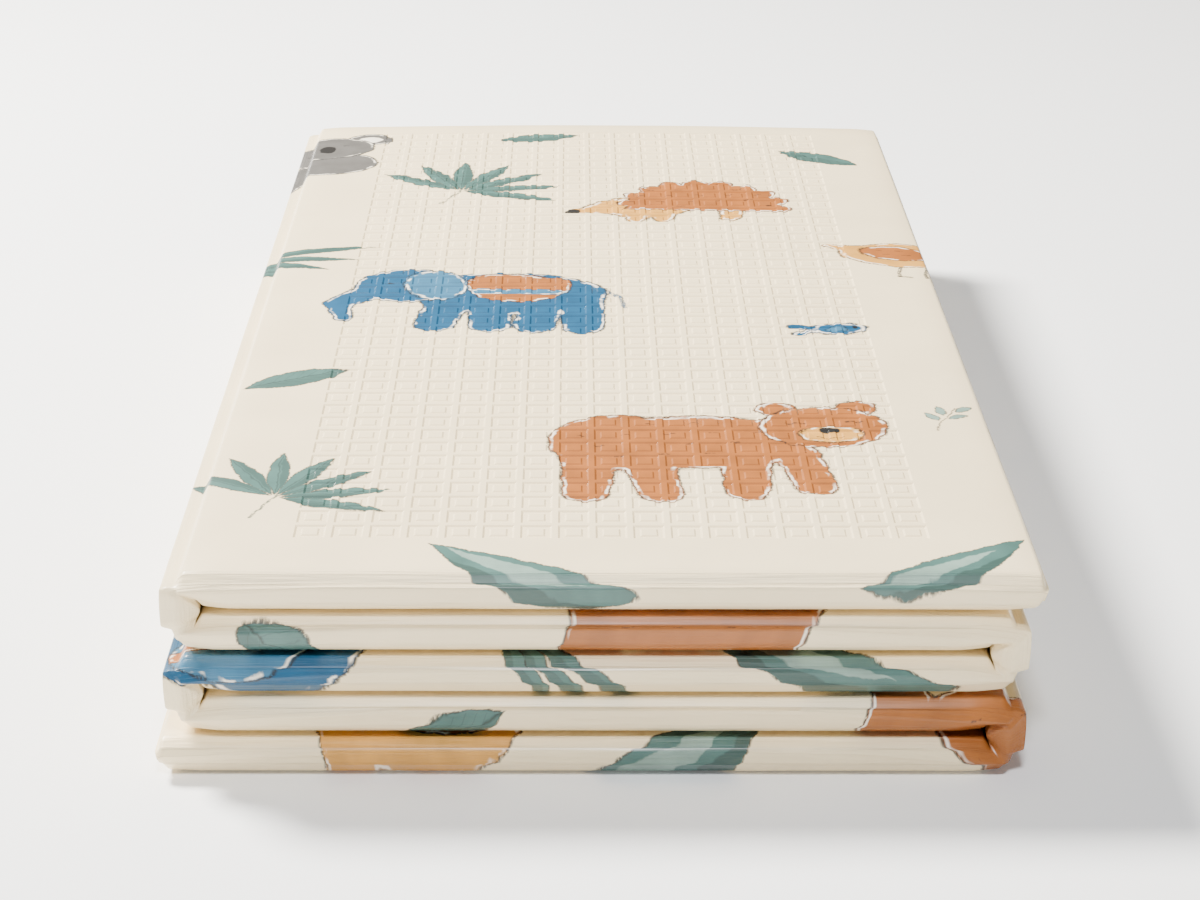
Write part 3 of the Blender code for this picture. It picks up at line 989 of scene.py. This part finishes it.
def plain_film(name, settings):
    """The unprinted side's material."""
    material, start, shader = new_film(name, settings)
    place_at = start.add("ShaderNodeTexCoord", {}, {}, 3)
    flat = start.add("ShaderNodeSeparateXYZ", {}, {0: place_at})
    colour, normal = film_look(start, settings, flat * (1 / MM), flat.output(1) * (1 / MM))
    connect(material.node_tree, shader, colour, normal)
    return material


def motifs_near(face, uv):
    """The numbers of the motifs that reach a face of the printed side."""
    centre = face_centre(face, uv)
    spare = max((loop[uv].uv - centre).length for loop in face.loops) * MAT_LENGTH + WAVER
    found = []
    for number, motif in enumerate(MOTIFS):
        right, away = motif.u - centre.x * MAT_LENGTH, centre.y * MAT_LENGTH - ROW - motif.v
        if max(abs(right), abs(away)) > max(REACH[motif.draw]) * CORNER_REACH * motif.size + spare:
            continue
        c, s = cos(radians(motif.turn)), sin(radians(motif.turn))
        reach = [half * motif.size + spare for half in REACH[motif.draw]]
        if abs(right * c + away * s) < reach[0] and abs(away * c - right * s) < reach[1]:
            found.append(number)
    return tuple(found)


def give_films(mesh, printed, settings, paints):
    """Sets each face's material and returns the list of materials."""
    uv = mesh.loops.layers.uv[FLAT_MAP]
    groups = {draw: drawing_group(draw, paints) for draw in REACH}
    films, numbers = [plain_film("film_unprinted", settings)], {}
    for face in mesh.faces:
        face.material_index = 0
        if not all(vert in printed for vert in face.verts):
            for loop in face.loops:
                loop[uv].uv = BACK_MAP + loop[uv].uv * BACK_SHARE
            continue
        key = motifs_near(face, uv)
        if key not in numbers:
            numbers[key] = len(films)
            name = "film_" + ("_".join(MOTIFS[n].draw.__name__[5:] + str(n) for n in key) or "clear")
            films.append(printed_film(name, [MOTIFS[n] for n in key], settings, groups))
        face.material_index = numbers[key]
    return films


def tone(name, description, red, green, blue):
    """A colour property, from the values of a screen colour."""
    linear = [((c / 255 + 0.055) / 1.055) ** 2.4 for c in (red, green, blue)]
    return FloatVectorProperty(
        name=name, description=description, default=linear, subtype="COLOR", min=0.0, max=1.0
    )


def amount(name, description, default, high=1.0):
    return FloatProperty(name=name, description=description, default=default, min=0.0, max=high)


class PrintSettings(bpy.types.PropertyGroup):
    terracotta: tone("Terracotta", "Coats of the larger animals", 158, 93, 40)
    tan: tone("Tan", "Lighter coats and faces", 208, 150, 68)
    blue: tone("Blue", "Blue animals", 24, 79, 113)
    sky: tone("Sky", "Light parts of the blue animals", 54, 105, 135)
    grey: tone("Grey", "Grey animals", 97, 94, 90)
    leaf: tone("Leaf", "Leaves", 71, 104, 97)
    deep_leaf: tone("Deep leaf", "Shaded half of the leaves", 51, 73, 67)
    pale_leaf: tone("Pale leaf", "Lit part of the leaves", 128, 152, 140)
    pencil: tone("Pencil", "Drawn lines", 36, 34, 32)
    bare: tone("Bare", "Slivers that the paint left bare", 250, 240, 222)


class FilmSettings(bpy.types.PropertyGroup):
    film: tone("Film", "Ground colour of the film", 246, 226, 184)
    roughness: amount("Roughness", "Roughness of the satin film", 0.45)
    gloss: amount("Gloss", "Specular level of the film", 0.22)
    shine: amount("Shine", "Strength of the sharper shine on ridges and creases", 0.5)
    crease: amount("Crease", "Height of the fine creases beside the folds, in millimetres", 0.6)
    grain: amount("Grain", "Height of the film's fine grain, in millimetres", 0.03)
    unsteady: amount("Unsteady hand", "How far drawn edges waver, in millimetres", 3.4, 10.0)


class StageSettings(bpy.types.PropertyGroup):
    lens: FloatProperty(
        name="Lens",
        description="Focal length of the camera",
        default=82.9,
        min=10.0,
        unit="CAMERA",
    )


class PLAYMAT_OT_mat(bpy.types.Operator):
    """Build the folded mat with its embossed squares"""

    bl_idname = "playmat.mat"
    bl_label = "Folded mat"

    def execute(self, context):
        print_set = context.scene.playmat_print
        paints = {name: (*getattr(print_set, name), 1.0) for name in PrintSettings.__annotations__}
        mesh, films = build_mat_mesh(context.scene.playmat_film, paints)
        data = bpy.data.meshes.new("mat_skin")
        mesh.to_mesh(data)
        mesh.free()
        data.set_sharp_from_angle(angle=SHARP_ANGLE)
        skin = bpy.data.objects.new("mat_skin", data)
        context.scene.collection.objects.link(skin)
        for film in films:
            data.materials.append(film)
        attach(skin, "root")
        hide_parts("play_mat")
        return {"FINISHED"}


# The stage, in metres and watts. The camera stands where the photograph was taken from.
Lamp = namedtuple("Lamp", "name place_at aim size power colour")
LAMPS = (
    Lamp("key", (-1.5, 0.9, 2.05), (0.0, 0.0, 0.05), 0.8, 370.0, (1.0, 0.972, 0.91)),
    Lamp("front", (0.0, -1.6, 1.95), (0.0, -0.3, 0.05), 0.4, 55.0, (0.94, 0.965, 1.0)),
)
WHITE = (1.0, 1.0, 1.0, 1.0)
SURROUNDINGS = 0.13
FLOOR_HALF = 6.0
FLOOR_PAINT = (0.9, 0.9, 0.9, 1.0)
FLOOR_ROUGHNESS = 0.8
FLOOR_GLOW = 0.12
CAMERA_PLACE = (-0.0115, -1.4728, 0.6013)
CAMERA_PITCH, CAMERA_YAW, CAMERA_ROLL = radians(21.86), radians(-0.63), radians(-0.34)
SENSOR_WIDTH = 36.0


def add_lamp(lamp):
    light = bpy.data.lights.new(lamp.name, "AREA")
    light.shape = "DISK"
    light.size, light.energy, light.color = lamp.size, lamp.power, lamp.colour
    holder = bpy.data.objects.new(lamp.name, light)
    bpy.context.scene.collection.objects.link(holder)
    way = Vector(lamp.aim) - Vector(lamp.place_at)
    turn = way.to_track_quat("-Z", "Y").to_matrix().to_4x4()
    holder.matrix_world = Matrix.Translation(lamp.place_at) @ turn


def add_floor(scene):
    mesh = bmesh.new()
    bmesh.ops.create_grid(mesh, x_segments=1, y_segments=1, size=FLOOR_HALF)
    data = bpy.data.meshes.new("floor")
    mesh.to_mesh(data)
    mesh.free()
    floor = bpy.data.objects.new("floor", data)
    scene.collection.objects.link(floor)
    paint = bpy.data.materials.new("floor")
    paint.use_nodes = True
    shader = paint.node_tree.nodes["Principled BSDF"]
    shader.inputs["Base Color"].default_value = FLOOR_PAINT
    shader.inputs["Roughness"].default_value = FLOOR_ROUGHNESS
    shader.inputs["Emission Color"].default_value = WHITE
    shader.inputs["Emission Strength"].default_value = FLOOR_GLOW
    data.materials.append(paint)


def add_surroundings(scene):
    world = bpy.data.worlds.new("studio")
    world.use_nodes = True
    ground = world.node_tree.nodes["Background"]
    ground.inputs["Color"].default_value = WHITE
    ground.inputs["Strength"].default_value = SURROUNDINGS
    scene.world = world


def add_camera(scene):
    camera = bpy.data.cameras.new("camera")
    camera.lens = scene.playmat_stage.lens
    camera.sensor_width = SENSOR_WIDTH
    eye = bpy.data.objects.new("camera", camera)
    scene.collection.objects.link(eye)
    turn = Matrix.Rotation(CAMERA_YAW, 4, "Z") @ Matrix.Rotation(pi / 2 - CAMERA_PITCH, 4, "X")
    turn = turn @ Matrix.Rotation(-CAMERA_ROLL, 4, "Z")
    eye.matrix_world = Matrix.Translation(CAMERA_PLACE) @ turn
    scene.camera = eye


class PLAYMAT_OT_stage(bpy.types.Operator):
    """Build the floor, the soft lights, the surroundings and the camera"""

    bl_idname = "playmat.stage"
    bl_label = "Stage"

    def execute(self, context):
        add_floor(context.scene)
        add_surroundings(context.scene)
        for lamp in LAMPS:
            add_lamp(lamp)
        add_camera(context.scene)
        return {"FINISHED"}


class PLAYMAT_PT_panel(bpy.types.Panel):
    bl_idname = "PLAYMAT_PT_panel"
    bl_label = "Folded play mat"
    bl_space_type = "VIEW_3D"
    bl_region_type = "UI"
    bl_category = "Play mat"

    def draw(self, context):
        scene = context.scene
        for operator, groups in (
            ("playmat.mat", (scene.playmat_film, scene.playmat_print)),
            ("playmat.stage", (scene.playmat_stage,)),
        ):
            for group in groups:
                for name in group.__annotations__:
                    self.layout.prop(group, name)
            self.layout.operator(operator)


CLASSES = (
    FilmSettings,
    PrintSettings,
    StageSettings,
    PLAYMAT_OT_mat,
    PLAYMAT_OT_stage,
    PLAYMAT_PT_panel,
)


def register():
    for cls in CLASSES:
        bpy.utils.register_class(cls)
    bpy.types.Scene.playmat_film = PointerProperty(type=FilmSettings)
    bpy.types.Scene.playmat_print = PointerProperty(type=PrintSettings)
    bpy.types.Scene.playmat_stage = PointerProperty(type=StageSettings)


def unregister():
    del bpy.types.Scene.playmat_stage
    del bpy.types.Scene.playmat_print
    del bpy.types.Scene.playmat_film
    for cls in reversed(CLASSES):
        bpy.utils.unregister_class(cls)


def main():
    register()
    bpy.ops.playmat.mat()
    bpy.ops.playmat.stage()


if __name__ == "__main__":
    main()
